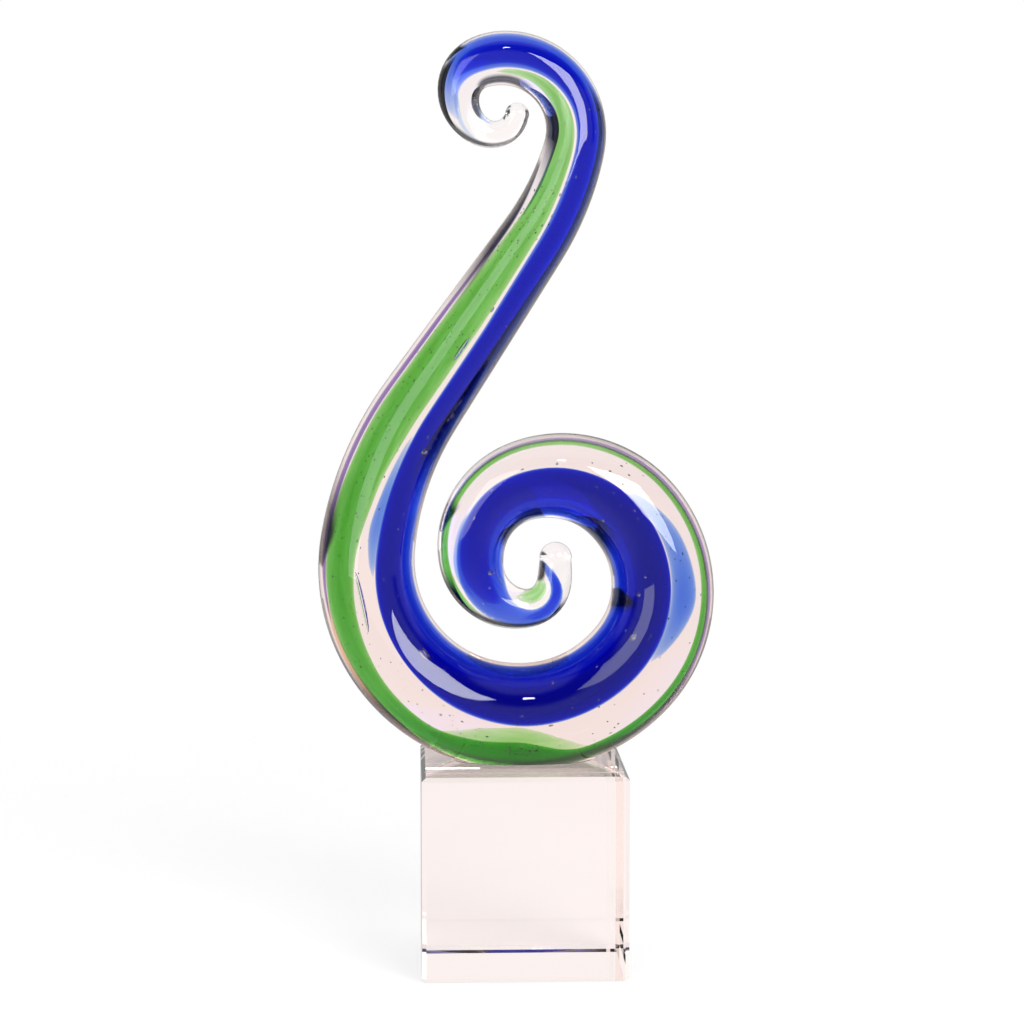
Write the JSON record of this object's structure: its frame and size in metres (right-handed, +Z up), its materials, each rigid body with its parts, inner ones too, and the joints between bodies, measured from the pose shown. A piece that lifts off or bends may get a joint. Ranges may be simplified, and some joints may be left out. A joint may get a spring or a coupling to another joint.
{
  "type": "glass wave sculpture",
  "caption": "Clear art glass rod with blue and green glass inside, coiled into a wave with a curled tip, standing on a clear crystal cube.",
  "frame": {"origin": "middle of the crystal block's flat underside", "axes": "+Z up along the height, -Y towards the viewer who sees the wave face on, +X to that viewer's right; the rod's centreline lies in the plane Y = 0"},
  "size_m": [0.117, 0.06, 0.2742],
  "materials": {
    "clear_glass": "fire polished clear glass with a faint pink cast, a few seed bubbles",
    "blue_glass": "deep cobalt blue glass sealed inside the clear glass, lighter where it is thin",
    "green_glass": "leaf green glass sealed inside the clear glass",
    "crystal": "optically clear crystal, ground and polished flat with polished chamfers",
    "clear_adhesive": "clear cured adhesive film"
  },
  "bodies": {
    "root": {"clear_casing": "clear_glass", "blue_core": "blue_glass", "green_ribbon": "green_glass", "crystal_block": "crystal", "adhesive_film": "clear_adhesive"}
  },
  "joints": []
}
